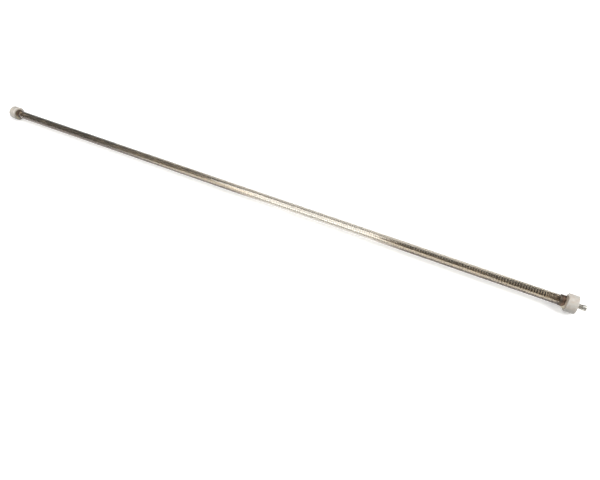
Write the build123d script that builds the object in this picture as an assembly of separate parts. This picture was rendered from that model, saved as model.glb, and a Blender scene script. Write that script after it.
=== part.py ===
from build123d import *
import math
import os

# Quartz tube heating element for a food warmer. All sizes are in millimetres.
#
# The row's origin is on the tube's axis, half way along it. +X runs along the tube to the right-hand end
# and +Z is up. The two ends are mirror images, so each end piece is drawn once by its distance "out", which
# is measured from the mouth of its cap, away from the middle of the tube.

# ---- Driving dimensions -------------------------------------------------------------------------------

exposed_tube = 666.0            # glass between the mouths of the two caps

tube_radius = 4.75              # quartz tube, outside
tube_wall = 1.0
tube_rim_round = 0.25           # fire-polished rim

cap_radius = 8.0                # ceramic cap
cap_length = 8.3
cap_floor = 2.6
cap_edge_round = 0.5
cement_gap = 0.75               # cap's socket wall to tube
cushion_thickness = 1.0         # fibre washer between the tube's rim and the socket's floor

wire_radius = 0.6               # resistance coil
coil_clearance = 0.35           # coil to the tube's bore
coil_pitch = 2.3
coil_setback = 8.0              # cap's mouth to the coil's first turn

ferrule_wall = 0.28             # foil band round the tube at each cap
ferrule_exposed = 5.4
ferrule_covered = 2.6

fillet_height = 1.6             # cement fillet outside the cap's mouth
fillet_length = 3.4
fillet_edge = 0.2
cement_relief = 0.6             # cement stops this far short of the tube's rim

thread_radius = 1.5             # contact pin
pin_neck_step = 0.55            # neck beyond the thread, which bears on the cap
pin_neck_length = 3.9
pin_head_step = 0.4             # head beyond the neck
pin_head_length = 3.6
pin_head_round = 0.9
pin_back_chamfer = 0.3
pin_tail_step = 0.5             # thread beyond the tail
pin_tail_length = 2.4

flat_washer_width = 1.7         # widths of the washers and the nut beyond the thread
flat_washer_thickness = 0.5
spring_washer_width = 1.4
spring_washer_thickness = 0.7
spring_washer_slit = 0.5
nut_width = 1.25
nut_height = 1.8

sleeve_wall = 0.6               # crimp sleeve
sleeve_grip = 2.4               # on the pin's tail, and the same on the stub's shank
sleeve_gap = 0.6                # between the tail's end and the shank's end, inside the sleeve

spacer_thickness = 1.8
stub_gap = 0.3                  # spacer to the stub's plug
stub_plug_length = 8.5
stub_tip_round = 0.9

running_gap = 0.05              # metal in metal
loose_gap = 0.1                 # round parts in the bore or socket
cushion_gap = 0.1               # tube's rim to the fibre washer

# ---- Sizes that follow --------------------------------------------------------------------------------

half_exposed = exposed_tube / 2
bore_radius = tube_radius - tube_wall
socket_radius = tube_radius + cement_gap
socket_depth = cap_length - cap_floor
tube_insertion = socket_depth - cushion_thickness - cushion_gap
cement_depth = tube_insertion - cement_relief
pin_hole_radius = thread_radius + loose_gap
pin_neck_radius = thread_radius + pin_neck_step
pin_head_radius = pin_neck_radius + pin_head_step
pin_tail_radius = thread_radius - pin_tail_step
flat_washer_radius = thread_radius + flat_washer_width
spring_washer_radius = thread_radius + spring_washer_width
nut_across_flats = 2 * (thread_radius + nut_width)
coil_mean_radius = bore_radius - coil_clearance - wire_radius
ferrule_radius = tube_radius + running_gap + ferrule_wall
fillet_mouth_radius = ferrule_radius + fillet_height
sleeve_bore_radius = pin_tail_radius + running_gap
sleeve_radius = sleeve_bore_radius + sleeve_wall

# Stations along an end, as distances out from the cap's mouth.
flat_washer_start = socket_depth - flat_washer_thickness
spring_washer_start = flat_washer_start - spring_washer_thickness
nut_start = spring_washer_start - nut_height
tail_start = nut_start - pin_tail_length
sleeve_end = tail_start + sleeve_grip
shank_end = tail_start - sleeve_gap
sleeve_start = shank_end - sleeve_grip
spacer_end = sleeve_start - stub_gap
spacer_start = spacer_end - spacer_thickness
plug_end = spacer_start - stub_gap
plug_start = plug_end - stub_plug_length

os.makedirs("parts", exist_ok=True)


def turned(outline, side):
    """Revolve an outline of (out, radius) points about the tube's axis, at one end of the tube."""
    points = [(side * (half_exposed + out), radius) for out, radius in outline]
    face = make_face(Plane.XZ * Polyline(*points, close=True))
    return revolve(face, axis=Axis.X)


def ring(start, end, outer, inner, side):
    """A plain ring or, with an inner radius of 0, a plain disc, between two stations."""
    return turned([(start, inner), (start, outer), (end, outer), (end, inner)], side)


def edges_at(solid, out, radius, side):
    """The round edges of a turned piece at one station and radius."""
    place = side * (half_exposed + out)
    circles = solid.edges().filter_by(GeomType.CIRCLE)
    return [
        edge
        for edge in circles
        if abs(edge.radius - radius) < 1e-4 and abs(edge.arc_center.X - place) < 1e-4
    ]


def write(node, shape):
    """Write one sub-part to its own file."""
    shape.label = node
    export_step(shape, f"parts/{node}.step")


# ---- Pieces that run the whole length -----------------------------------------------------------------


def quartz_tube():
    """Fused quartz sheath, open at both ends, with rounded rims."""
    half = half_exposed + tube_insertion
    outline = [(-half, bore_radius), (-half, tube_radius), (half, tube_radius), (half, bore_radius)]
    tube = revolve(make_face(Plane.XZ * Polyline(*outline, close=True)), axis=Axis.X)
    rims = [edge for edge in tube.edges().filter_by(GeomType.CIRCLE) if abs(abs(edge.arc_center.X) - half) < 1e-4]
    return fillet(rims, tube_rim_round)


def heating_coil():
    """Resistance coil, as a thin sleeve of the winding's outside radius and the wire's own volume."""
    length = exposed_tube - 2 * coil_setback
    turn_length = math.hypot(2 * math.pi * coil_mean_radius, coil_pitch)
    wire_volume = math.pi * wire_radius**2 * turn_length * length / coil_pitch
    outer = coil_mean_radius + wire_radius
    inner = math.sqrt(outer**2 - wire_volume / (math.pi * length))
    outline = [(-length / 2, inner), (-length / 2, outer), (length / 2, outer), (length / 2, inner)]
    return revolve(make_face(Plane.XZ * Polyline(*outline, close=True)), axis=Axis.X)


# ---- Pieces at each end -------------------------------------------------------------------------------


def end_cap(side):
    """Ceramic cap: a socket for the tube, and a floor with a hole for the pin."""
    outline = [
        (0, socket_radius),
        (0, cap_radius),
        (cap_length, cap_radius),
        (cap_length, pin_hole_radius),
        (socket_depth, pin_hole_radius),
        (socket_depth, socket_radius),
    ]
    cap = turned(outline, side)
    outer_edges = edges_at(cap, 0, cap_radius, side) + edges_at(cap, cap_length, cap_radius, side)
    return fillet(outer_edges, cap_edge_round)


def contact_pin(side):
    """Headed pin: tail for the crimp, threaded shank through the floor, neck and rounded head outside."""
    head_start = cap_length + pin_neck_length
    head_end = head_start + pin_head_length
    outline = [
        (tail_start, 0),
        (tail_start, pin_tail_radius),
        (nut_start, pin_tail_radius),
        (nut_start, thread_radius),
        (cap_length, thread_radius),
        (cap_length, pin_neck_radius),
        (head_start, pin_neck_radius),
        (head_start, pin_head_radius),
        (head_end, pin_head_radius),
        (head_end, 0),
    ]
    pin = turned(outline, side)
    pin = fillet(edges_at(pin, head_end, pin_head_radius, side), pin_head_round)
    return chamfer(edges_at(pin, head_start, pin_head_radius, side), pin_back_chamfer)


def flat_washer(side):
    """Plain washer on the floor of the socket."""
    return ring(flat_washer_start, socket_depth, flat_washer_radius, pin_hole_radius, side)


def spring_washer(side):
    """Split spring washer between the nut and the flat washer."""
    washer = ring(spring_washer_start, flat_washer_start, spring_washer_radius, pin_hole_radius, side)
    middle = side * (half_exposed + (spring_washer_start + flat_washer_start) / 2)
    slit = Pos(middle, 0, spring_washer_radius) * Box(
        2 * spring_washer_thickness, spring_washer_slit, 2 * spring_washer_radius
    )
    return washer - slit


def pin_nut(side):
    """Thin hexagon nut on the pin's thread."""
    middle = side * (half_exposed + nut_start + nut_height / 2)
    hexagon = RegularPolygon(nut_across_flats / 2, 6, major_radius=False)
    section = hexagon - Circle(thread_radius + running_gap)
    return extrude(Plane(origin=(middle, 0, 0), z_dir=(1, 0, 0)) * section, nut_height / 2, both=True)


def crimp_sleeve(side):
    """Nickel sleeve that joins the pin's tail to the stub's shank."""
    return ring(sleeve_start, sleeve_end, sleeve_radius, sleeve_bore_radius, side)


def coil_stub(side):
    """Cold stub: a shank through the spacer, and a plug that carries the coil's end turns."""
    plug_radius = coil_mean_radius - wire_radius - running_gap
    outline = [
        (plug_start, 0),
        (plug_start, plug_radius),
        (plug_end, plug_radius),
        (plug_end, pin_tail_radius),
        (shank_end, pin_tail_radius),
        (shank_end, 0),
    ]
    stub = turned(outline, side)
    return fillet(edges_at(stub, plug_start, plug_radius, side), stub_tip_round)


def end_spacer(side):
    """Ceramic disc that centres the stub in the tube's bore."""
    return ring(spacer_start, spacer_end, bore_radius - loose_gap, sleeve_bore_radius, side)


def tube_ferrule(side):
    """Foil band wrapped round the tube where it enters the cap."""
    return ring(-ferrule_exposed, ferrule_covered, ferrule_radius, tube_radius + running_gap, side)


def cement_seal(side):
    """Refractory cement in the socket, with a fillet outside the cap's mouth."""
    outline = [
        (-fillet_length, ferrule_radius),
        (-fillet_length, ferrule_radius + fillet_edge),
        (0, fillet_mouth_radius),
        (0, socket_radius),
        (cement_depth, socket_radius),
        (cement_depth, ferrule_radius),
    ]
    return turned(outline, side)


def cushion_washer(side):
    """Ceramic-fibre ring between the tube's rim and the cap's floor."""
    start = socket_depth - cushion_thickness
    return ring(start, socket_depth, socket_radius - loose_gap, bore_radius, side)


write("quartz_tube", quartz_tube())
write("heating_coil", heating_coil())

end_pieces = {
    "end_cap": end_cap,
    "contact_pin": contact_pin,
    "flat_washer": flat_washer,
    "spring_washer": spring_washer,
    "pin_nut": pin_nut,
    "crimp_sleeve": crimp_sleeve,
    "coil_stub": coil_stub,
    "end_spacer": end_spacer,
    "tube_ferrule": tube_ferrule,
    "cement_seal": cement_seal,
    "cushion_washer": cushion_washer,
}
for end_name, end_side in (("left", -1), ("right", 1)):
    for piece_name, make_piece in end_pieces.items():
        write(f"{end_name}_{piece_name}", make_piece(end_side))
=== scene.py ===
"""Looks of a quartz tube heating element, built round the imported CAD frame.

The row's X axis runs along the tube, +X to the right-hand pin, and +Z is up. Lengths are in metres unless a
name says otherwise. Each end piece is worked out for the right-hand end by its distance "out" from the mouth
of its cap, and the left-hand one is the same shape turned half a turn about Z.
"""

import sys

import logging
import math
from dataclasses import dataclass
from enum import Enum
from typing import ClassVar

import bmesh
import bpy
import numpy as np
from mathutils import Matrix, Vector


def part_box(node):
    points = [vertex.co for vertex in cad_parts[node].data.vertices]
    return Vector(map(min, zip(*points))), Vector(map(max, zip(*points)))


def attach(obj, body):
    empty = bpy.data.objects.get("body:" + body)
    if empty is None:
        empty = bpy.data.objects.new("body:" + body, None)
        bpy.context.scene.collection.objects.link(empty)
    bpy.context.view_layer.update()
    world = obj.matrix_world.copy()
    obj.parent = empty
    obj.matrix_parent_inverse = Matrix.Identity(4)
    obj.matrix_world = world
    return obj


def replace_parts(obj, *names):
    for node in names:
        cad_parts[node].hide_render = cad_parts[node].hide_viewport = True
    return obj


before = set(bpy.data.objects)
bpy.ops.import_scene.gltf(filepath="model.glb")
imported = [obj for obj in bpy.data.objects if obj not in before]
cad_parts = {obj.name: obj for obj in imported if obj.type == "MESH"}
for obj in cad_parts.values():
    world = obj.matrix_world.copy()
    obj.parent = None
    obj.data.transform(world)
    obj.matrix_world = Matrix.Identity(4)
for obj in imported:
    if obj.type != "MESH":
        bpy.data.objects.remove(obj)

LOG = logging.getLogger("element")
MM = 0.001
BODY = "root"
TURN = 2 * math.pi

Pair = tuple[float, float]
Triple = tuple[float, float, float]
Socket = bpy.types.NodeSocket
Material = bpy.types.Material


class Side(Enum):
    """The two ends of the element, and the way each points along X."""

    LEFT = -1
    RIGHT = 1

    @property
    def word(self) -> str:
        """The side's name, as the CAD nodes spell it."""
        return self.name.lower()


# ---- Surfaces worked out as arrays ----


@dataclass(frozen=True)
class Surface:
    """A surface as points and the faces between them.

    Args:
        points: one row of x, y, z for each point.
        faces: one row of four point numbers for each face.
    """

    points: np.ndarray
    faces: np.ndarray

    def at_side(self, side: Side) -> "Surface":
        """The surface at that end: the left one is turned half a turn about Z."""
        return Surface(self.points * np.array([side.value, side.value, 1.0]), self.faces)


def lattice(points: np.ndarray, wrap_rows: bool = False, wrap_columns: bool = False) -> Surface:
    """Join a grid of points into four-sided faces between neighbouring rows and columns.

    Args:
        points: array of rows, columns and x, y, z.
        wrap_rows: the last row meets the first.
        wrap_columns: the last column meets the first.

    Returns:
        The surface over the grid.
    """
    rows, columns = points.shape[:2]
    number = np.arange(rows * columns).reshape(rows, columns)
    if wrap_rows:
        number = np.vstack([number, number[:1]])
    if wrap_columns:
        number = np.hstack([number, number[:, :1]])
    corners = (number[:-1, :-1], number[1:, :-1], number[1:, 1:], number[:-1, 1:])
    return Surface(points.reshape(-1, 3), np.stack(corners, axis=-1).reshape(-1, 4))


def around(stations: np.ndarray, radii: np.ndarray, angles: np.ndarray) -> np.ndarray:
    """Points about the X axis: x is the station, y is radius times cos(angle), z is radius times sin(angle).

    Args:
        stations: x of each point, broadcast against the angles.
        radii: distance of each point from the axis.
        angles: angle about the axis, 0 along +Y and a quarter turn along +Z.

    Returns:
        Array of points, with x, y, z last.
    """
    x, r, a = np.broadcast_arrays(stations, radii, angles)
    return np.stack([x, r * np.cos(a), r * np.sin(a)], axis=-1)


def ring_angles(count: int) -> np.ndarray:
    """Evenly spaced angles round one turn, as one row."""
    return np.linspace(0.0, TURN, count, endpoint=False)[None, :]


def arc(centre: Pair, radius: float, start: float, end: float, count: int) -> np.ndarray:
    """Points of a round in a profile, by circle formula, as (station, radius) pairs.

    Args:
        centre: middle of the round.
        radius: its radius.
        start: first angle in degrees, 0 along the station axis.
        end: last angle in degrees.
        count: number of points, both ends included.

    Returns:
        Array of (station, radius) pairs.
    """
    angle = np.radians(np.linspace(start, end, count))
    return np.stack([centre[0] + radius * np.cos(angle), centre[1] + radius * np.sin(angle)], axis=-1)


def straight(start: float, end: float, radius: float, count: int) -> np.ndarray:
    """Evenly spaced points of a profile that stay at one radius, as (station, radius) pairs."""
    return np.stack([np.linspace(start, end, count), np.full(count, radius)], axis=-1)


def outline(*pieces: object) -> np.ndarray:
    """Chain single points, arcs and straight runs into one profile of (station, radius) pairs."""
    return np.concatenate([np.atleast_2d(np.asarray(piece, float)) for piece in pieces])


def refined(profile: np.ndarray, longest: float, closed: bool) -> np.ndarray:
    """Add evenly spaced points to a profile wherever two neighbours are further apart than a limit.

    Args:
        profile: (station, radius) pairs.
        longest: longest distance left between neighbours.
        closed: the last point joins the first.

    Returns:
        The profile with the extra points in it.
    """
    ends = np.vstack([profile[1:], profile[:1]]) if closed else profile[1:]
    starts = profile if closed else profile[:-1]
    runs = [
        np.linspace(start, end, max(1, math.ceil(math.dist(start, end) / longest)), endpoint=False)
        for start, end in zip(starts, ends)
    ]
    return np.concatenate(runs if closed else [*runs, profile[-1:]])


def spread(profile: np.ndarray, longest: float, closed: bool, count: int) -> tuple[np.ndarray, ...]:
    """Refine a profile and set it out for revolving.

    Args:
        profile: (station, radius) pairs.
        longest: longest distance left between neighbours.
        closed: the last point joins the first.
        count: number of points round the axis.

    Returns:
        Stations and radii as columns, and the angles as one row.
    """
    fine = refined(profile, longest, closed)
    return fine[:, :1], fine[:, 1:], ring_angles(count)


def eased(share: np.ndarray) -> np.ndarray:
    """A 0 to 1 share with a soft start and a soft end."""
    return share * share * (3 - 2 * share)


def thread_phase(stations: np.ndarray, angles: np.ndarray, pitch: float) -> np.ndarray:
    """Where each point lies across a thread, 0 to 1, moving on by one pitch a turn."""
    return (stations / pitch - angles / TURN) % 1.0


@dataclass(frozen=True)
class Waves:
    """Smooth unevenness: a sum of cosine waves with whole numbers of crests round the axis.

    Args:
        seed: chooses the waves.
        count: how many waves are added.
        crests: most crests round the axis.
        length: shortest wave along the axis.
    """

    seed: int
    count: int
    crests: int
    length: float

    def at(self, stations: np.ndarray, angles: np.ndarray) -> np.ndarray:
        """Height of the unevenness, about -1 to 1, at each station and angle."""
        draw = np.random.default_rng(self.seed)
        total = np.zeros(np.broadcast(stations, angles).shape)
        for _ in range(self.count):
            crests = draw.integers(0, self.crests + 1)
            pace = draw.uniform(-1.0, 1.0) * TURN / self.length
            total = total + np.cos(crests * angles + pace * stations + draw.uniform(0.0, TURN))
        return total / math.sqrt(2.0 * self.count)


def bell(values: np.ndarray, middle: float, width: float) -> np.ndarray:
    """A smooth bump of height 1: exp of minus the square of (value - middle) / width."""
    return np.exp(-(((values - middle) / width) ** 2))


def angle_bell(angles: np.ndarray, middle_degrees: float, width_degrees: float) -> np.ndarray:
    """The same bump round the axis, measured the short way round."""
    apart = (angles - math.radians(middle_degrees) + math.pi) % TURN - math.pi
    return bell(apart, 0.0, math.radians(width_degrees))


def show(name: str, data: bpy.types.ID) -> bpy.types.Object:
    """Put a new object with this data into the scene."""
    shown = bpy.data.objects.new(name, data)
    bpy.context.scene.collection.objects.link(shown)
    return shown


@dataclass(frozen=True)
class Label:
    """What a piece is called, and what it is a piece of.

    Args:
        piece: the piece's name, less its side.
        node: name of the CAD node that it takes the place of, less its side.
        slot: the record's material slot; not used.
        crease: edges sharper than this many degrees stay sharp.
    """

    piece: str
    node: str
    slot: str
    crease: float


def make_piece(label: Label, surface: Surface, material: Material, side: Side | None) -> bpy.types.Object:
    """Turn a surface into a shown piece that rides on the body in place of its CAD node.

    Args:
        label: its names, slot and crease.
        surface: its points and faces, in the row frame.
        material: its finish.
        side: the end that it is at, or None if it runs the whole length.

    Returns:
        The piece's object.
    """
    prefix = f"{side.word}_" if side else ""
    mesh = bpy.data.meshes.new(prefix + label.piece)
    mesh.from_pydata(surface.points.tolist(), [], surface.faces.tolist())
    shell = bmesh.new()
    shell.from_mesh(mesh)
    bmesh.ops.remove_doubles(shell, verts=shell.verts, dist=0.0002 * MM)
    bmesh.ops.dissolve_degenerate(shell, edges=shell.edges, dist=0.0001 * MM)
    bmesh.ops.recalc_face_normals(shell, faces=shell.faces)
    shell.to_mesh(mesh)
    shell.free()
    mesh.shade_smooth()
    mesh.set_sharp_from_angle(angle=math.radians(label.crease))
    mesh.materials.append(material)
    piece = show(prefix + label.piece, mesh)
    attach(piece, BODY)
    LOG.info("%s: %d points, %d faces", piece.name, len(mesh.vertices), len(mesh.polygons))
    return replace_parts(piece, prefix + label.node)


# ---- Places, read from the frame ----


@dataclass(frozen=True)
class Span:
    """A round CAD node as a length of the axis and a radius.

    Args:
        start: nearest distance out from the cap's mouth.
        end: furthest distance out.
        radius: largest radius.
    """

    start: float
    end: float
    radius: float


@dataclass(frozen=True)
class Frame:
    """Places that every piece is worked out from.

    Args:
        mouth: x of the right-hand cap's mouth.
    """

    mouth: float

    @classmethod
    def read(cls) -> "Frame":
        """Measure the frame's own nodes."""
        low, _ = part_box("right_end_cap")
        return cls(mouth=float(low.x))

    def span(self, node: str) -> Span:
        """The place of a right-hand or full-length node, by its box."""
        low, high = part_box(node)
        return Span(float(low.x) - self.mouth, float(high.x) - self.mouth, float(high.y))


# ---- Node trees ----


class Tree:
    """A material's node tree, built a step at a time.

    Args:
        name: the material's name.
    """

    def __init__(self, name: str) -> None:
        """Start a material with one principled shader."""
        self.material = bpy.data.materials.new(name)
        self.material.use_nodes = True
        self.nodes = self.material.node_tree.nodes
        self.links = self.material.node_tree.links
        self.shader = self.nodes["Principled BSDF"]
        self.output = self.nodes["Material Output"]
        self.place = self.nodes.new("ShaderNodeTexCoord").outputs["Object"]

    def link(self, value: object, socket: Socket) -> None:
        """Give a socket a link or a plain value."""
        if isinstance(value, bpy.types.NodeSocket):
            self.links.new(value, socket)
        else:
            socket.default_value = value

    def fill(self, node: bpy.types.Node, **values: object) -> None:
        """Set or link a node's sockets, spelt with underscores for spaces."""
        for name, value in values.items():
            socket = node.inputs[name.replace("_", " ")]
            if isinstance(value, tuple) and len(value) == 3 and socket.type == "RGBA":
                value = (*value, 1.0)
            self.link(value, socket)

    def set(self, **values: object) -> None:
        """Set or link the shader's sockets in the same way."""
        self.fill(self.shader, **values)

    def math(self, operation: str, *values: object) -> Socket:
        """One step of arithmetic on numbers or links."""
        node = self.nodes.new("ShaderNodeMath")
        node.operation = operation
        for value, socket in zip(values, node.inputs):
            self.link(value, socket)
        return node.outputs[0]

    def plus(self, first: object, second: object) -> Socket:
        """The sum of two numbers or links."""
        return self.math("ADD", first, second)

    def minus(self, first: object, second: object) -> Socket:
        """The first less the second."""
        return self.math("SUBTRACT", first, second)

    def times(self, first: object, second: object) -> Socket:
        """The product of two numbers or links."""
        return self.math("MULTIPLY", first, second)

    def thinned(self, value: Socket, cover: Socket, share: float) -> Socket:
        """A value that loses this share of itself where the cover is 1."""
        return self.times(value, self.minus(1.0, self.times(cover, share)))

    def parts(self) -> tuple[Socket, ...]:
        """The piece's own place as x, y and z."""
        node = self.nodes.new("ShaderNodeSeparateXYZ")
        self.links.new(self.place, node.inputs[0])
        return tuple(node.outputs)

    def scaled(self, factors: Triple) -> Socket:
        """The piece's own place times a factor on each axis."""
        node = self.nodes.new("ShaderNodeVectorMath")
        node.operation = "MULTIPLY"
        self.links.new(self.place, node.inputs[0])
        node.inputs[1].default_value = factors
        return node.outputs[0]

    def out(self, mouth: float) -> Socket:
        """Distance out from the mouth of the nearer cap: |x| less the mouth's place."""
        return self.minus(self.math("ABSOLUTE", self.parts()[0]), mouth)

    def off_axis(self) -> Socket:
        """Distance from the tube's axis."""
        node = self.nodes.new("ShaderNodeVectorMath")
        node.operation = "LENGTH"
        self.links.new(self.scaled((0.0, 1.0, 1.0)), node.inputs[0])
        return node.outputs["Value"]

    def noise(self, size: float, detail: float = 3.0, stretch: Triple = (1, 1, 1)) -> Socket:
        """Cloudy noise from 0 to 1.

        Args:
            size: width of one cloud, in metres.
            detail: how many finer layers it has.
            stretch: clouds this many times longer on each axis.

        Returns:
            The noise's value.
        """
        node = self.nodes.new("ShaderNodeTexNoise")
        self.fill(node, Vector=self.scaled(tuple(1 / s for s in stretch)), Scale=1 / size, Detail=detail)
        return node.outputs["Fac"]

    def cells(self, size: float) -> Socket:
        """Distance to the nearest of scattered points, for pits and specks."""
        node = self.nodes.new("ShaderNodeTexVoronoi")
        self.fill(node, Vector=self.place, Scale=1 / size)
        return node.outputs["Distance"]

    def steps(self, value: Socket, low: float, high: float) -> Socket:
        """0 at low, 1 at high and a smooth rise between."""
        node = self.nodes.new("ShaderNodeMapRange")
        node.interpolation_type = "SMOOTHSTEP"
        self.fill(node, Value=value, From_Min=low, From_Max=high)
        return node.outputs["Result"]

    def ranged(self, value: Socket, low: float, high: float) -> Socket:
        """A 0 to 1 value spread between two others."""
        node = self.nodes.new("ShaderNodeMapRange")
        self.fill(node, Value=value, To_Min=low, To_Max=high)
        return node.outputs["Result"]

    def mix(self, share: object, first: object, second: object) -> Socket:
        """Blend two colours, each a link or (r, g, b)."""
        node = self.nodes.new("ShaderNodeMix")
        node.data_type = "RGBA"
        self.link(share, node.inputs[0])
        for value, socket in ((first, node.inputs[6]), (second, node.inputs[7])):
            self.link(value if isinstance(value, bpy.types.NodeSocket) else (*value, 1.0), socket)
        return node.outputs[2]

    def ramp(self, value: Socket, stops: tuple[tuple[float, Triple], ...]) -> Socket:
        """A colour ramp through (position, colour) stops."""
        node = self.nodes.new("ShaderNodeValToRGB")
        self.fill(node, Fac=value)
        while len(node.color_ramp.elements) < len(stops):
            node.color_ramp.elements.new(0.5)
        for element, (position, colour) in zip(node.color_ramp.elements, stops):
            element.position = position
            element.color = (*colour, 1.0)
        return node.outputs["Color"]

    def bump(self, height: Socket, depth: float) -> None:
        """Give the shader a bump of that depth, in metres."""
        node = self.nodes.new("ShaderNodeBump")
        self.fill(node, Strength=1.0, Distance=depth, Height=height)
        self.set(Normal=node.outputs["Normal"])


# ---- Finishes ----


@dataclass(frozen=True)
class FusedQuartz:
    """Clear drawn quartz with a thin bronze film on its bore, browner near the ends, with painted shade
    along its bottom and over its left half and a painted highlight tint on top and in the middle.

    A pair of lengths says where a change begins and where it is complete.

    Args:
        mouth: x of a cap's mouth.
        radius: outside radius of the tube.
        wall: its wall.
        clear: colour of the glass.
        lamp_tint: share of the lamps' light that passes to the coil.
        index: refractive index.
        film: colour of the film.
        film_cover: share of the light that it turns back.
        pale: its paler colour on top and in the middle, a painted highlight tint where the lamps are
            reflected.
        top: height at which it turns pale.
        greyed: its darker, greyer colour over the left half, painted shade.
        left: x at which it turns grey.
        smoked: its colour where the ends have browned.
        smoke_reach: how far in from the mouth the browning fades out.
        bottom_shade: its colour along the bottom, painted shade.
        bottom_shade_line: height of the painted shade's upper edge over the right half, then at the left
            end.
        bottom_shade_edge: height about that line at which the painted shade sets in.
        highlight_zone_in: x at which the key lamp's highlight zone begins, coming from the left; the painted
            shade thins out and the film turns pale there.
        highlight_zone_out: the same, coming from the right.
        bared_along: x at which the film wears thin near the right end.
        bared_above: height at which it does.
    """

    mouth: float
    radius: float
    wall: float
    clear: Triple = (0.97, 0.96, 0.94)
    lamp_tint: Triple = (0.86, 0.84, 0.80)
    index: float = 1.458
    film: Triple = (0.82, 0.70, 0.53)
    film_cover: float = 0.33
    pale: Triple = (0.72, 0.68, 0.605)
    top: Pair = (2.2 * MM, 3.2 * MM)
    greyed: Triple = (0.38, 0.365, 0.335)
    left: Pair = (-60 * MM, -230 * MM)
    smoked: Triple = (0.40, 0.29, 0.20)
    smoke_reach: float = 16 * MM
    bottom_shade: Triple = (0.10, 0.07, 0.05)
    bottom_shade_line: Pair = (-0.1 * MM, 1.5 * MM)
    bottom_shade_edge: Pair = (0.25 * MM, -0.4 * MM)
    highlight_zone_in: Pair = (0.0, 50 * MM)
    highlight_zone_out: Pair = (200 * MM, 140 * MM)
    bared_along: Pair = (200 * MM, 280 * MM)
    bared_above: Pair = (1.4 * MM, 2.2 * MM)

    def material(self) -> Material:
        """Glass half mirrored on its bore, with faint drawing lines and a little dust."""
        tree = Tree("fused_quartz")
        bore = tree.steps(tree.off_axis(), self.radius - 0.35 * self.wall, self.radius - 0.65 * self.wall)
        film, mirror = self.bore_film(tree)
        dust = tree.steps(tree.noise(0.35 * MM, 2), 0.68, 0.8)
        tree.set(
            Base_Color=tree.mix(bore, self.clear, film),
            Metallic=tree.times(bore, mirror),
            Roughness=tree.plus(tree.times(dust, 0.2), tree.times(bore, 0.10)),
            IOR=self.index,
            Transmission_Weight=1.0,
        )
        tree.bump(tree.noise(0.5 * MM, 2, (160, 1, 1)), 0.003 * MM)
        self.let_lamps_through(tree)
        return tree.material

    def bore_film(self, tree: Tree) -> tuple[Socket, Socket]:
        """Work out the film all along the tube.

        Args:
            tree: the glass's own tree.

        Returns:
            The film's colour, and the share of the light that it turns back.
        """
        x, _, z = tree.parts()
        left = tree.steps(x, *self.left)
        highlight_zone = tree.times(tree.steps(x, *self.highlight_zone_in), tree.steps(x, *self.highlight_zone_out))
        bared = tree.times(tree.steps(x, *self.bared_along), tree.steps(z, *self.bared_above))
        # Painted shade along the bottom of the bore, thinned in the key lamp's highlight zone.
        low = tree.steps(tree.minus(z, tree.ranged(left, *self.bottom_shade_line)), *self.bottom_shade_edge)
        low = tree.thinned(low, highlight_zone, 0.85)
        haze = tree.steps(tree.out(self.mouth), -self.smoke_reach, -0.3 * self.smoke_reach)
        patchy = tree.times(haze, tree.ranged(tree.noise(2.5 * MM, 4), 0.35, 1.0))
        # Painted highlight tint: the film turns pale on top and in the highlight zone. Painted shade: it
        # turns darker and grey over the left half.
        colour = tree.mix(tree.math("MAXIMUM", tree.steps(z, *self.top), highlight_zone), self.film, self.pale)
        colour = tree.mix(left, colour, self.greyed)
        colour = tree.mix(low, tree.mix(patchy, colour, self.smoked), self.bottom_shade)
        cloud = tree.ranged(tree.noise(6 * MM, 3, (6, 1, 1)), 0.85 * self.film_cover, 1.15 * self.film_cover)
        streaks = tree.ranged(tree.noise(0.8 * MM, 3, (70, 1, 1)), 0.72, 1.2)
        cloud = tree.thinned(tree.times(cloud, streaks), bared, 0.3)
        return colour, tree.math("MAXIMUM", cloud, tree.times(low, 0.9))

    def let_lamps_through(self, tree: Tree) -> None:
        """Make the glass clear to rays towards the lamps, so that they light the coil."""
        through = tree.nodes.new("ShaderNodeBsdfTransparent")
        tree.fill(through, Color=self.lamp_tint)
        both = tree.nodes.new("ShaderNodeMixShader")
        lamp_rays = tree.nodes.new("ShaderNodeLightPath").outputs["Is Shadow Ray"]
        for source, socket in zip((lamp_rays, tree.shader.outputs[0], through.outputs[0]), both.inputs):
            tree.links.new(source, socket)
        tree.links.new(both.outputs[0], tree.output.inputs["Surface"])


@dataclass(frozen=True)
class OxidisedWire:
    """Resistance alloy with its dark fired oxide.

    Args:
        dark: colour of thick oxide.
        warm: colour of thinner, browner oxide.
        bare: colour where the oxide has rubbed.
    """

    dark: Triple = (0.25, 0.228, 0.20)
    warm: Triple = (0.36, 0.305, 0.245)
    bare: Triple = (0.44, 0.39, 0.32)

    def material(self) -> Material:
        """Half-metal sheen with scale patches and die lines."""
        tree = Tree("oxidised_wire")
        slow = tree.steps(tree.noise(14 * MM, 3), 0.35, 0.7)
        scale = tree.noise(0.45 * MM, 5)
        colour = tree.mix(slow, self.dark, self.warm)
        tree.set(
            Base_Color=tree.mix(tree.steps(scale, 0.58, 0.72), colour, self.bare),
            Metallic=0.85,
            Roughness=tree.ranged(scale, 0.28, 0.55),
            Specular_IOR_Level=0.5,
        )
        tree.bump(scale, 0.012 * MM)
        return tree.material


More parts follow.
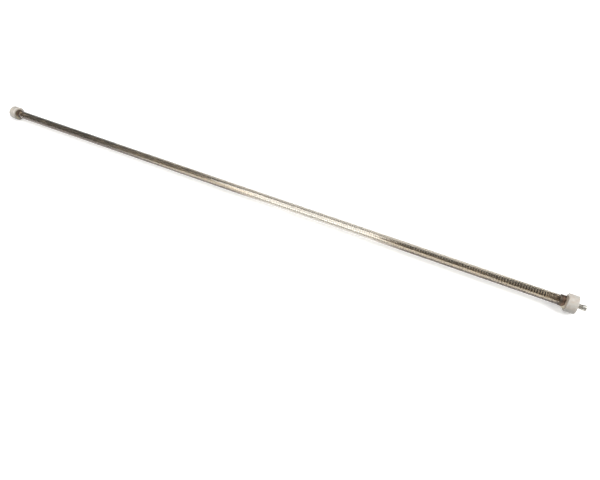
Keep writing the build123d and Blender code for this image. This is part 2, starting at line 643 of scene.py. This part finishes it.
@dataclass(frozen=True)
class GlazedCeramic:
    """White steatite under a thin satin glaze, heat-stained with painted shade at the tube's mouth and
    painted shade on its underside.

    Args:
        mouth: x of a cap's mouth.
        white: the body's colour.
        warm: the warmer tone that drifts through it.
        pit: colour of its pinholes.
        stain: colour of the heat stain and painted shade.
        stain_radius: the stain and shade are strongest inside this radius.
        rim_radius: and gone outside this one.
        underside_shade: colour of the painted shade that darkens the underside.
        underside_shade_height: heights at which the painted shade begins and is complete.
    """

    mouth: float
    white: Triple = (0.53, 0.505, 0.455)
    warm: Triple = (0.49, 0.43, 0.37)
    pit: Triple = (0.40, 0.35, 0.29)
    stain: Triple = (0.34, 0.29, 0.225)
    stain_radius: float = 5.4 * MM
    rim_radius: float = 6.8 * MM
    underside_shade: Triple = (0.11, 0.103, 0.088)
    underside_shade_height: Pair = (7.0 * MM, -3.0 * MM)

    def material(self) -> Material:
        """Soft gloss, fine pinholes, a drift of tone, painted shade on the underside, and the heat stain
        with painted shade on the mouth's face.
        """
        tree = Tree("glazed_ceramic")
        colour = tree.mix(tree.steps(tree.noise(3.5 * MM, 3), 0.35, 0.7), self.white, self.warm)
        # Painted shade: the cap darkens towards its underside.
        under = tree.times(tree.steps(tree.parts()[2], *self.underside_shade_height), 0.8)
        colour = tree.mix(under, colour, self.underside_shade)
        # Heat stain with painted shade on the mouth's face, strongest next to the tube.
        near_face = tree.steps(tree.out(self.mouth), 0.14 * MM, 0.02 * MM)
        near_tube = tree.steps(tree.off_axis(), self.rim_radius, self.stain_radius)
        patchy = tree.ranged(tree.noise(2.2 * MM, 4), 0.0, 0.55)
        stained_and_shaded = tree.times(tree.times(near_face, near_tube), patchy)
        colour = tree.mix(tree.math("MINIMUM", stained_and_shaded, 0.95), colour, self.stain)
        pits = tree.steps(tree.cells(0.55 * MM), 0.05, 0.11)
        tree.set(
            Base_Color=tree.mix(pits, self.pit, colour),
            Roughness=tree.ranged(tree.noise(0.8 * MM, 3), 0.30, 0.48),
            Subsurface_Weight=0.12,
            Subsurface_Radius=(1.2 * MM, 1.0 * MM, 0.7 * MM),
            Coat_Weight=0.25,
            Coat_Roughness=0.22,
        )
        tree.bump(tree.plus(tree.noise(0.25 * MM, 4), tree.times(pits, 0.8)), 0.02 * MM)
        return tree.material


@dataclass(frozen=True)
class SatinNickel:
    """Nickel plate on a turned pin, darker where it leaves the cap.

    Args:
        cap_face: x of the cap's outer face.
        bright: colour of clean plate.
        dull: colour of handled, tarnished plate.
        scuffed: colour of light scuffs.
    """

    cap_face: float
    bright: Triple = (0.50, 0.49, 0.45)
    dull: Triple = (0.24, 0.22, 0.185)
    scuffed: Triple = (0.9, 0.89, 0.85)

    def material(self) -> Material:
        """Lathe rings, patchy tarnish, darker towards the cap, and light scuffs."""
        tree = Tree("satin_nickel")
        rings = tree.noise(0.09 * MM, 2, (1, 90, 90))
        # The pin turns darker towards the cap.
        near_cap = tree.steps(tree.out(self.cap_face), 4.2 * MM, 1.0 * MM)
        tarnish = tree.steps(tree.plus(tree.noise(1.6 * MM, 4), tree.times(near_cap, 0.22)), 0.42, 0.68)
        scuff = tree.steps(tree.noise(0.3 * MM, 3, (4, 1, 1)), 0.6, 0.75)
        colour = tree.mix(tarnish, self.bright, self.dull)
        tree.set(
            Base_Color=tree.mix(tree.times(scuff, 0.5), colour, self.scuffed),
            Metallic=1.0,
            Roughness=tree.plus(tree.ranged(rings, 0.36, 0.5), tree.times(tarnish, 0.15)),
        )
        tree.bump(rings, 0.008 * MM)
        return tree.material


@dataclass(frozen=True)
class PlainSteel:
    """Bare steel of the small fastenings, dulled by heat.

    Args:
        name: the finish's name.
        clean: colour of clean metal.
        blued: colour where heat has tinted it.
    """

    name: str
    clean: Triple
    blued: Triple

    def material(self) -> Material:
        """Fine grain, a heat tint in patches and worn high spots."""
        tree = Tree(self.name)
        tint = tree.steps(tree.noise(1.8 * MM, 4), 0.4, 0.7)
        grain = tree.noise(0.12 * MM, 3)
        tree.set(
            Base_Color=tree.mix(tint, self.clean, self.blued),
            Metallic=1.0,
            Roughness=tree.ranged(grain, 0.26, 0.44),
        )
        tree.bump(grain, 0.006 * MM)
        return tree.material


@dataclass(frozen=True)
class HeatTintedFoil:
    """Stainless foil that the heat has coloured, darkest at the cap.

    Args:
        mouth: x of a cap's mouth.
        reach: how far the foil shows.
        bands: share of the reach and colour of each band of tint.
        soot: colour of sooty patches.
    """

    mouth: float
    reach: float
    bands: tuple[tuple[float, Triple], ...] = (
        (0.0, (0.050, 0.036, 0.026)),
        (0.25, (0.095, 0.060, 0.042)),
        (0.5, (0.19, 0.115, 0.078)),
        (0.72, (0.085, 0.063, 0.047)),
        (1.0, (0.14, 0.115, 0.09)),
    )
    soot: Triple = (0.035, 0.028, 0.022)

    def material(self) -> Material:
        """Straw to copper to brown bands along the foil, broken up by patches."""
        tree = Tree("heat_tinted_foil")
        patch = tree.noise(1.7 * MM, 5)
        wander = tree.times(tree.minus(patch, 0.5), 0.9)
        along = tree.math("DIVIDE", tree.out(self.mouth), -self.reach)
        colour = tree.ramp(tree.plus(along, wander), self.bands)
        sooty = tree.times(tree.steps(tree.noise(0.9 * MM, 3), 0.6, 0.75), 0.8)
        tree.set(
            Base_Color=tree.mix(sooty, colour, self.soot),
            Metallic=0.8,
            Roughness=tree.ranged(patch, 0.3, 0.6),
        )
        tree.bump(tree.noise(0.5 * MM, 3), 0.03 * MM)
        return tree.material


@dataclass(frozen=True)
class RefractoryCement:
    """Tan furnace cement, sandy and browned by heat.

    Args:
        name: the finish's name.
        tan: its own colour.
        brown: colour where it is browned.
        soot: colour of its darkest patches.
    """

    name: str
    tan: Triple
    brown: Triple
    soot: Triple

    def material(self) -> Material:
        """Sandy grain with patches of brown that gather on the upper side."""
        tree = Tree(self.name)
        upper = tree.steps(tree.parts()[2], -3.2 * MM, 3.0 * MM)
        patch = tree.plus(tree.times(tree.noise(1.5 * MM, 5), 0.9), tree.times(upper, 0.45))
        colour = tree.mix(tree.steps(patch, 0.45, 0.85), self.tan, self.brown)
        colour = tree.mix(tree.steps(patch, 0.95, 1.15), colour, self.soot)
        grain = tree.noise(0.16 * MM, 6)
        tree.set(Base_Color=tree.mix(tree.steps(grain, 0.62, 0.75), colour, self.tan), Roughness=0.88)
        tree.bump(tree.plus(grain, tree.cells(0.4 * MM)), 0.07 * MM)
        return tree.material


@dataclass(frozen=True)
class MatteCeramic:
    """Unglazed ceramic of the centring disc.

    Args:
        body: its colour.
        grey: colour of its darker clouds.
    """

    body: Triple = (0.68, 0.64, 0.57)
    grey: Triple = (0.44, 0.39, 0.33)

    def material(self) -> Material:
        """Chalky, with fine pores."""
        tree = Tree("matte_ceramic")
        cloud = tree.steps(tree.noise(1.8 * MM, 4), 0.4, 0.7)
        tree.set(Base_Color=tree.mix(cloud, self.body, self.grey), Roughness=0.8)
        tree.bump(tree.noise(0.12 * MM, 4), 0.02 * MM)
        return tree.material


@dataclass(frozen=True)
class CeramicFibre:
    """Pressed ceramic-fibre paper.

    Args:
        fibre: colour of the fibres.
        binder: colour of the binder between them.
    """

    fibre: Triple = (0.84, 0.83, 0.79)
    binder: Triple = (0.62, 0.57, 0.49)

    def material(self) -> Material:
        """Short crossed fibres in a faintly browned binder."""
        tree = Tree("ceramic_fibre")
        one_way = tree.noise(0.10 * MM, 2, (1, 12, 1))
        other_way = tree.noise(0.10 * MM, 2, (1, 1, 12))
        felt = tree.math("MAXIMUM", one_way, other_way)
        tree.set(Base_Color=tree.mix(tree.steps(felt, 0.45, 0.7), self.binder, self.fibre), Roughness=0.95)
        tree.bump(felt, 0.05 * MM)
        return tree.material


@dataclass(frozen=True)
class StudioFloor:
    """Plain pale floor.

    Args:
        colour: its colour.
        mottle: colour of its darker clouds.
        glow: light that comes up through it, which keeps the shadows open.
    """

    colour: Triple = (0.93, 0.93, 0.925)
    mottle: Triple = (0.91605, 0.91605, 0.911125)
    glow: float = 0.34

    def material(self) -> Material:
        """Matte white with a barely seen mottle."""
        tree = Tree("studio_floor")
        tree.set(
            Base_Color=tree.mix(tree.noise(0.4, 2), self.colour, self.mottle),
            Roughness=0.9,
            Emission_Color=(1.0, 1.0, 1.0),
            Emission_Strength=self.glow,
        )
        return tree.material


# ---- Pieces that run the whole length ----


@dataclass(frozen=True)
class QuartzTube:
    """The fused quartz sheath.

    Args:
        half: half its length.
        radius: outside radius.
        wall: its wall.
        rim_round: radius of its fire-polished rims.
        segments: faces round it.
    """

    half: float
    radius: float
    wall: float = 1.0 * MM
    rim_round: float = 0.25 * MM
    segments: int = 96

    def surface(self) -> Surface:
        """Revolve a closed wall profile; the drawn glass wavers by a few hundredths of a millimetre."""
        bore, rim = self.radius - self.wall, self.rim_round
        inside, outside = self.half - rim, self.radius - rim
        profile = outline(
            arc((inside, outside), rim, 90, 0, 6),
            arc((inside, bore + rim), rim, 0, -90, 6),
            arc((-inside, bore + rim), rim, -90, -180, 6),
            arc((-inside, outside), rim, 180, 90, 6),
        )
        stations, radii, angles = spread(profile, 7 * MM, True, self.segments)
        waver = 0.012 * MM * Waves(7, 7, 3, 60 * MM).at(stations, angles)
        return lattice(around(stations, radii + waver, angles), wrap_rows=True, wrap_columns=True)

    def build(self, material: Material) -> bpy.types.Object:
        """Make the tube in place of its CAD node."""
        label = Label("quartz_sheath", "quartz_tube", "quartz", 40.0)
        return make_piece(label, self.surface(), material, None)


@dataclass(frozen=True)
class HeatingCoil:
    """The resistance winding: one wire from stub to stub.

    Args:
        half: half the winding's length.
        radius: outside radius of the winding.
        bore: radius of the tube's bore.
        grip: length of each end that is wound close on its stub.
        wire: radius of the wire.
        pitch: spacing of the open turns.
        close_pitch: spacing of the turns on the stub.
        turn_segments: steps in one turn.
        wire_segments: faces round the wire.
    """

    half: float
    radius: float
    bore: float
    grip: float
    wire: float = 0.6 * MM
    pitch: float = 2.3 * MM
    close_pitch: float = 1.33 * MM
    turn_segments: int = 30
    wire_segments: int = 10

    def pitches(self, stations: np.ndarray) -> np.ndarray:
        """The open pitch times 1 plus two slow sines, easing to the close pitch at the ends."""
        uneven = 1 + 0.055 * np.sin(TURN * stations / (190 * MM) + 0.7)
        uneven = uneven + 0.03 * np.sin(TURN * stations / (47 * MM))
        inward = np.clip((self.half - np.abs(stations) - self.grip) / (4 * MM), 0, 1)
        return self.close_pitch + (self.pitch * uneven - self.close_pitch) * eased(inward)

    def centreline(self) -> np.ndarray:
        """Points of the wire's own line: a helix whose angle is the sum of 2 pi dx over the pitch.

        Between its ends the winding sags on to the bottom of the bore.

        Returns:
            One point a row.
        """
        fine = np.linspace(-self.half + self.wire, self.half - self.wire, 40001)
        density = TURN / self.pitches(fine)
        steps = np.diff(fine) * (density[1:] + density[:-1]) / 2
        turned = np.concatenate([[0.0], np.cumsum(steps)])
        angles = np.linspace(0.0, turned[-1], int(turned[-1] / TURN * self.turn_segments))
        stations = np.interp(angles, turned, fine)
        slack = self.bore - self.radius
        settle = np.clip((self.half - np.abs(stations)) / (45 * MM), 0, 1)
        sag = 0.9 * slack * settle * (0.85 + 0.15 * np.sin(TURN * stations / (83 * MM) + 1.0))
        line = around(stations, np.full_like(stations, self.radius - self.wire), angles)
        line[:, 2] -= sag
        return line

    def surface(self) -> Surface:
        """Carry a circle along the wire's line, square to it, and close both cut ends."""
        line = self.centreline()
        along = np.gradient(line, axis=0)
        along /= np.linalg.norm(along, axis=1, keepdims=True)
        outward = line * np.array([0.0, 1.0, 1.0])
        outward -= (outward * along).sum(1, keepdims=True) * along
        outward /= np.linalg.norm(outward, axis=1, keepdims=True)
        across = np.cross(along, outward)
        angle = ring_angles(self.wire_segments)[:, :, None]
        spokes = np.cos(angle) * outward[:, None] + np.sin(angle) * across[:, None]
        rings = line[:, None] + self.wire * spokes
        ends = [np.repeat(line[end][None, None], self.wire_segments, axis=1) for end in (0, -1)]
        return lattice(np.concatenate([ends[0], rings, ends[1]]), wrap_columns=True)

    def build(self, material: Material) -> bpy.types.Object:
        """Make the winding in place of its CAD sleeve."""
        label = Label("heating_winding", "heating_coil", "resistance_wire", 60.0)
        return make_piece(label, self.surface(), material, None)


# ---- Pieces at each end ----


@dataclass(frozen=True)
class EndPiece:
    """A piece that each end has one of.

    Args:
        place: the frame.
        span: where the piece's node lies.
    """

    label: ClassVar[Label]
    place: Frame
    span: Span

    def surface(self, side: Side) -> Surface:
        """The piece, set out at the right-hand end whichever side it is for."""
        raise NotImplementedError

    def placed(self, stations: np.ndarray, radii: np.ndarray, angles: np.ndarray) -> np.ndarray:
        """Points about the X axis, by their distance out from the mouth."""
        return around(stations + self.place.mouth, radii, angles)

    def build(self, side: Side, material: Material) -> bpy.types.Object:
        """Make the piece at one end in place of its CAD node."""
        return make_piece(self.label, self.surface(side).at_side(side), material, side)


@dataclass(frozen=True)
class EndCap(EndPiece):
    """Ceramic cap: a socket for the tube and a floor with the pin's hole.

    Args:
        socket: radius of the socket.
        floor: thickness of its floor.
        hole: radius of the pin's hole.
        edge: round on the outer edges.
        lip: round on the socket's edge.
        segments: faces round it.
    """

    label: ClassVar[Label] = Label("ceramic_cap", "end_cap", "ceramic", 50.0)
    socket: float = 5.5 * MM
    floor: float = 2.6 * MM
    hole: float = 1.6 * MM
    edge: float = 0.5 * MM
    lip: float = 0.25 * MM
    segments: int = 128

    def surface(self, side: Side) -> Surface:
        """Revolve the closed section, then press it a little out of true and nick its mouth."""
        seed = 21 + side.value
        length, radius, edge, lip = self.span.end, self.span.radius, self.edge, self.lip
        depth = length - self.floor
        profile = outline(
            arc((edge, radius - edge), edge, 180, 90, 8),
            arc((length - edge, radius - edge), edge, 90, 0, 8),
            arc((length - lip, self.hole + lip), lip, 0, -90, 5),
            (depth, self.hole),
            (depth, self.socket),
            arc((lip, self.socket + lip), lip, -90, -180, 5),
        )
        stations, radii, angles = spread(profile, 0.55 * MM, True, self.segments)
        skin = np.clip((radii - self.socket - 0.6 * MM) / (1.2 * MM), 0, 1)
        uneven = -0.03 * MM * (1 + Waves(seed, 8, 5, 9 * MM).at(stations, angles)) * skin
        seam = -0.05 * MM * bell(stations, 0.56 * length, 0.16 * MM) * skin
        nick_at = 200 + 47 * seed % 90
        nick = -0.28 * MM * angle_bell(angles, nick_at, 4.5) * bell(stations, 0.0, 0.7 * MM) * skin
        points = self.placed(stations, radii + uneven + seam + nick, angles)
        return lattice(points, wrap_rows=True, wrap_columns=True)


@dataclass(frozen=True)
class CementSeal(EndPiece):
    """Furnace cement in the socket, squeezed out in a lumpy fillet at the mouth.

    Args:
        inner: radius against the foil.
        socket: radius against the cap.
        segments: faces round it.
    """

    label: ClassVar[Label] = Label("cement_fillet", "cement_seal", "cement", 80.0)
    inner: float
    socket: float = 5.5 * MM
    segments: int = 144

    def surface(self, side: Side) -> Surface:
        """Revolve a section whose side past the mouth is a fillet with lumps, a run and a ragged edge."""
        seed, run_degrees = 40 + 3 * side.value, 270 - 38 * side.value
        angles = ring_angles(self.segments)
        ragged = 1 + 0.22 * Waves(seed, 9, 9, 9 * MM).at(np.zeros((1, 1)), angles)
        low_run = angle_bell(angles, run_degrees, 46)
        top_run = angle_bell(angles, 95, 22)
        length = -self.span.start * np.clip(0.26 * ragged + 0.66 * low_run + 0.1 * top_run, 0.12, 0.97)
        height = np.clip(0.16 + 0.79 * low_run + 0.05 * top_run, 0, 0.95) * (self.span.radius - self.inner)
        share = np.linspace(0.0, 1.0, 26)[:, None]
        skirt = -length * share
        lumps = 1 + 0.30 * Waves(seed + 1, 12, 11, 1.6 * MM).at(skirt, angles) * np.sin(math.pi * share)
        edge = 0.10 * MM * np.sin(math.pi * np.clip(share * 1.02, 0, 1)) + 0.02 * MM
        outer = self.inner + height * (1 - share) ** 1.35 * lumps + edge
        inside = ((self.span.end, self.inner), (self.span.end, self.socket), (0.02 * MM, self.socket))
        row = np.ones_like(angles)
        stations = np.concatenate([skirt, skirt[-1:] - 0.03 * MM, *(station * row for station, _ in inside)])
        radii = np.concatenate([outer, self.inner * row, *(radius * row for _, radius in inside)])
        return lattice(self.placed(stations, radii, angles), wrap_rows=True, wrap_columns=True)


@dataclass(frozen=True)
class TubeFerrule(EndPiece):
    """Foil wrapped a little over one turn round the tube.

    Args:
        wall: thickness of the foil, both layers of the lap together.
        lap_degrees: length of the lap.
        segments: steps round it.
    """

    label: ClassVar[Label] = Label("foil_band", "tube_ferrule", "tinted_foil", 70.0)
    wall: float = 0.28 * MM
    lap_degrees: float = 38.0
    segments: int = 120

    def surface(self, side: Side) -> Surface:
        """Roll a strip: radius rises by one foil over the lap, and its two edges are crimped and uneven."""
        seed = 60 + 3 * side.value
        foil = self.wall / 2
        inner = self.span.radius - self.wall
        sweep = np.linspace(0.0, TURN + math.radians(self.lap_degrees), self.segments)[None, :]
        climb = np.clip((sweep - (TURN - math.radians(12))) / math.radians(14), 0, 1)
        middle = inner + foil * (0.5 + eased(climb))
        share = np.linspace(0.0, 1.0, 25)[:, None]
        first = self.span.start + 0.16 * MM * (1 + Waves(seed, 8, 9, 9 * MM).at(np.zeros((1, 1)), sweep))
        stations = first + (self.span.end - first) * share
        dents = 0.035 * MM * Waves(seed + 1, 12, 8, 2.5 * MM).at(stations, sweep)
        dents = dents * np.clip(4 * (1 - share), 0, 1)
        base = middle + np.clip(dents, -0.01 * MM, 0.06 * MM)
        outer = self.placed(stations, base + foil * 0.45, sweep)
        under = self.placed(stations, base - foil * 0.45, sweep)
        loop = np.concatenate([outer, under[::-1]])
        first_edge, last_edge = ((column + column[::-1]) / 2 for column in (loop[:, :1], loop[:, -1:]))
        return lattice(np.concatenate([first_edge, loop, last_edge], axis=1), wrap_rows=True)


@dataclass(frozen=True)
class ContactPin(EndPiece):
    """Headed pin: rounded head and neck outside, threaded shank and plain tail inside.

    Args:
        floor_outside: distance out to the cap's outer face.
        thread_start: distance out to where the thread begins.
        neck: radius of the neck.
        neck_length: length of the neck.
        thread: outside radius of the thread.
        thread_pitch: its pitch.
        tail: radius of the tail.
        head_round: round on the head's end.
        segments: faces round it.
    """

    label: ClassVar[Label] = Label("headed_pin", "contact_pin", "nickel_plate", 32.0)
    floor_outside: float
    thread_start: float
    neck: float = 2.05 * MM
    neck_length: float = 3.9 * MM
    thread: float = 1.5 * MM
    thread_pitch: float = 0.5 * MM
    tail: float = 1.0 * MM
    head_round: float = 0.9 * MM
    segments: int = 64

    def surface(self, side: Side) -> Surface:
        """Revolve the outline, alike at both sides, with a thread cut along the shank."""
        start, head, tip = self.span.start, self.span.radius, self.span.end
        head_start = self.floor_outside + self.neck_length
        back, neck_fillet, tail_edge = 0.3 * MM, 0.25 * MM, 0.15 * MM
        thread_end = self.floor_outside - 0.5 * MM
        profile = outline(
            (start, 0.0),
            (start, self.tail - tail_edge),
            (start + tail_edge, self.tail),
            (self.thread_start, self.tail),
            straight(self.thread_start + 0.2 * MM, thread_end, self.thread, 90),
            (self.floor_outside, self.thread),
            (self.floor_outside, self.neck),
            arc((head_start - neck_fillet, self.neck + neck_fillet), neck_fillet, -90, 0, 5),
            (head_start, head - back),
            arc((head_start + back, head - back), back, 180, 90, 5),
            arc((tip - self.head_round, head - self.head_round), self.head_round, 90, 22, 9),
            (tip - 0.015 * MM, 0.5 * MM),
            (tip, 0.0),
        )
        stations, radii, angles = spread(profile, 0.4 * MM, False, self.segments)
        on_thread = (stations > self.thread_start + 0.15 * MM) & (stations < thread_end + 0.01 * MM)
        phase = thread_phase(stations, angles, self.thread_pitch)
        groove = 0.22 * MM * (1 - np.abs(2 * phase - 1)) * on_thread
        return lattice(self.placed(stations, radii - groove, angles), wrap_columns=True)


@dataclass(frozen=True)
class CoilStub(EndPiece):
    """Cold stub: a shank, and a coarse-threaded plug that the coil's end turns sit on.

    Args:
        plug_end: distance out to the plug's flange side.
        shank: radius of the shank.
        pitch: pitch of the coarse thread.
        segments: faces round it.
    """

    label: ClassVar[Label] = Label("threaded_stub", "coil_stub", "stub_steel", 38.0)
    plug_end: float
    shank: float = 1.0 * MM
    pitch: float = 1.33 * MM
    segments: int = 64

    def surface(self, side: Side) -> Surface:
        """Revolve the outline, alike at both sides, with a shallow round thread along the plug."""
        plug, start, end = self.span.radius, self.span.start, self.span.end
        tip, collar, corner, bevel = 0.9 * MM, 1.6 * MM, 0.2 * MM, 0.15 * MM
        threaded_to = self.plug_end - collar
        profile = outline(
            (start, 0.0),
            arc((start + tip, plug - tip), tip, 180, 90, 8),
            straight(start + 1.0 * MM, threaded_to, plug, 110),
            arc((self.plug_end - corner, plug - corner), corner, 90, 0, 4),
            (self.plug_end, self.shank),
            (end - bevel, self.shank),
            (end, self.shank - bevel),
            (end, 0.0),
        )
        stations, radii, angles = spread(profile, 0.45 * MM, False, self.segments)
        on_plug = np.clip((stations - start - tip) / (0.6 * MM), 0, 1) * (stations < threaded_to + 0.01 * MM)
        groove = 0.16 * MM * np.sin(math.pi * thread_phase(stations, angles, self.pitch)) ** 2 * on_plug
        return lattice(self.placed(stations, radii - groove, angles), wrap_columns=True)


# ---- Studio ----


@dataclass(frozen=True)
class Camera:
    """The viewpoint.

    Args:
        place: where it stands, measured from the middle of the tube.
        azimuth: degrees, 0 looking along +Y.
        elevation: degrees above the horizon.
        lens: focal length in millimetres.
        sensor: width of its sensor in millimetres.
    """

    place: Triple = (0.23906, -0.30467, 0.30579)
    azimuth: float = 27.275
    elevation: float = 45.52
    lens: float = 27.0
    sensor: float = 36.0

    def build(self) -> bpy.types.Object:
        """Make it the scene's camera."""
        data = bpy.data.cameras.new("studio_camera")
        data.lens = self.lens
        data.sensor_width = self.sensor
        data.clip_start = 0.01
        data.clip_end = 50.0
        camera = show("studio_camera", data)
        turn, lift = math.radians(self.azimuth), math.radians(self.elevation)
        back = Vector((math.sin(turn) * math.cos(lift), -math.cos(turn) * math.cos(lift), math.sin(lift)))
        camera.location = self.place
        camera.rotation_mode = "QUATERNION"
        camera.rotation_quaternion = (-back).to_track_quat("-Z", "Y")
        bpy.context.scene.camera = camera
        return camera


@dataclass(frozen=True)
class Softbox:
    """One soft lamp aimed at a point.

    Args:
        name: its name.
        place: where it stands.
        aim: the point that it faces.
        width: its size from side to side.
        height: its size from bottom to top.
        watts: its power.
    """

    name: str
    place: Triple
    aim: Triple
    width: float
    height: float
    watts: float

    def build(self) -> bpy.types.Object:
        """Make the lamp."""
        data = bpy.data.lights.new(self.name, "AREA")
        data.shape = "RECTANGLE"
        data.size, data.size_y = self.width, self.height
        data.energy = self.watts
        lamp = show(self.name, data)
        towards = Vector(self.aim) - Vector(self.place)
        turn = towards.to_track_quat("-Z", "Y").to_matrix().to_4x4()
        lamp.matrix_world = Matrix.Translation(self.place) @ turn
        return lamp


@dataclass(frozen=True)
class Studio:
    """Floor, lamps and sky.

    Args:
        floor_z: height of the floor.
        floor_half: half the floor's side.
        sky: light that comes from the plain surroundings.
        backdrop: how bright they look behind the floor.
        lamps: the soft lamps.
    """

    floor_z: float
    floor_half: float = 6.0
    sky: float = 0.11
    backdrop: float = 0.86
    lamps: tuple[Softbox, ...] = (
        Softbox("key_softbox", (-0.34, -0.74, 0.74), (-0.34, 0.0, 0.0), 0.66, 2.0, 10.8),
        Softbox("back_softbox", (-0.72, 1.9, 2.3), (-0.72, 0.0, 0.0), 2.66, 3.8, 19.0),
        Softbox("front_softbox", (-0.52, -2.0, 0.30), (-0.52, 0.0, 0.0), 1.95, 0.6, 6.2),
        Softbox("side_softbox", (1.7, 0.3, 1.6), (0.0, 0.0, 0.0), 1.6, 1.6, 60.0),
    )

    def build(self) -> None:
        """Make the floor, the surroundings and the lamps."""
        grid = np.linspace(-self.floor_half, self.floor_half, 9)
        x, y = np.meshgrid(grid, grid, indexing="ij")
        surface = lattice(np.stack([x, y, np.full_like(x, self.floor_z)], axis=-1))
        mesh = bpy.data.meshes.new("studio_floor")
        mesh.from_pydata(surface.points.tolist(), [], surface.faces[:, ::-1].tolist())
        mesh.materials.append(StudioFloor().material())
        show("studio_floor", mesh)
        world = bpy.data.worlds.new("studio_sky")
        world.use_nodes = True
        nodes, links = world.node_tree.nodes, world.node_tree.links
        backdrop = nodes["Background"]
        backdrop.inputs["Color"].default_value = (1.0, 1.0, 1.0, 1.0)
        seen = nodes.new("ShaderNodeLightPath").outputs["Is Camera Ray"]
        strength = nodes.new("ShaderNodeMapRange")
        strength.inputs["To Min"].default_value = self.sky
        strength.inputs["To Max"].default_value = self.backdrop
        links.new(seen, strength.inputs["Value"])
        links.new(strength.outputs["Result"], backdrop.inputs["Strength"])
        bpy.context.scene.world = world
        bpy.context.scene.view_settings.view_transform = "Standard"
        for lamp in self.lamps:
            lamp.build()


# ---- Assembly ----


def dress(node: str, material: Material) -> None:
    """Give a CAD node that keeps its own shape a finish."""
    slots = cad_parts[node].data.materials
    slots.clear()
    slots.append(material)
    LOG.info("%s: dressed", node)


def main() -> None:
    """Build the element piece by piece, then the studio round it."""
    logging.basicConfig(level=logging.INFO, format="%(name)s: %(message)s", stream=sys.stdout)
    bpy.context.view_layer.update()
    place = Frame.read()
    tube = place.span("quartz_tube")
    winding = place.span("heating_coil")
    stub = place.span("right_coil_stub")
    spacer = place.span("right_end_spacer")
    nut = place.span("right_pin_nut")
    cap = place.span("right_end_cap")
    foil = place.span("right_tube_ferrule")
    half_winding = place.mouth + winding.end

    glass = FusedQuartz(place.mouth, tube.radius, QuartzTube.wall).material()
    QuartzTube(place.mouth + tube.end, tube.radius).build(glass)
    bore = tube.radius - QuartzTube.wall
    grip = half_winding - (place.mouth + stub.start)
    HeatingCoil(half_winding, winding.radius, bore, grip).build(OxidisedWire().material())

    ceramic = GlazedCeramic(place.mouth).material()
    nickel = SatinNickel(place.mouth + cap.end).material()
    steel = PlainSteel("plain_steel", (0.52, 0.51, 0.49), (0.23, 0.18, 0.15)).material()
    stub_steel = PlainSteel("stub_steel", (0.40, 0.36, 0.31), (0.16, 0.11, 0.075)).material()
    # The left end's cement has a darker mix than the right's.
    darker = (0.26, 0.235, 0.165), (0.12, 0.10, 0.065), (0.045, 0.035, 0.022)
    sandy = (0.42, 0.38, 0.29), (0.36, 0.29, 0.225), (0.14, 0.10, 0.075)
    cement = {
        Side.LEFT: RefractoryCement("darker_cement", *darker),
        Side.RIGHT: RefractoryCement("pale_cement", *sandy),
    }
    foil_tint = HeatTintedFoil(place.mouth, -foil.start).material()
    matte = MatteCeramic().material()
    fibre = CeramicFibre().material()
    for side in Side:
        EndCap(place, cap).build(side, ceramic)
        CementSeal(place, place.span("right_cement_seal"), foil.radius).build(side, cement[side].material())
        TubeFerrule(place, foil).build(side, foil_tint)
        ContactPin(place, place.span("right_contact_pin"), cap.end, nut.start).build(side, nickel)
        CoilStub(place, stub, spacer.start - 0.3 * MM).build(side, stub_steel)
        for piece, material in (
            ("flat_washer", steel),
            ("spring_washer", steel),
            ("pin_nut", steel),
            ("crimp_sleeve", nickel),
            ("end_spacer", matte),
            ("cushion_washer", fibre),
        ):
            dress(f"{side.word}_{piece}", material)

    Studio(floor_z=float(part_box("right_end_cap")[0].z)).build()
    Camera().build()


if __name__ == "__main__":
    main()
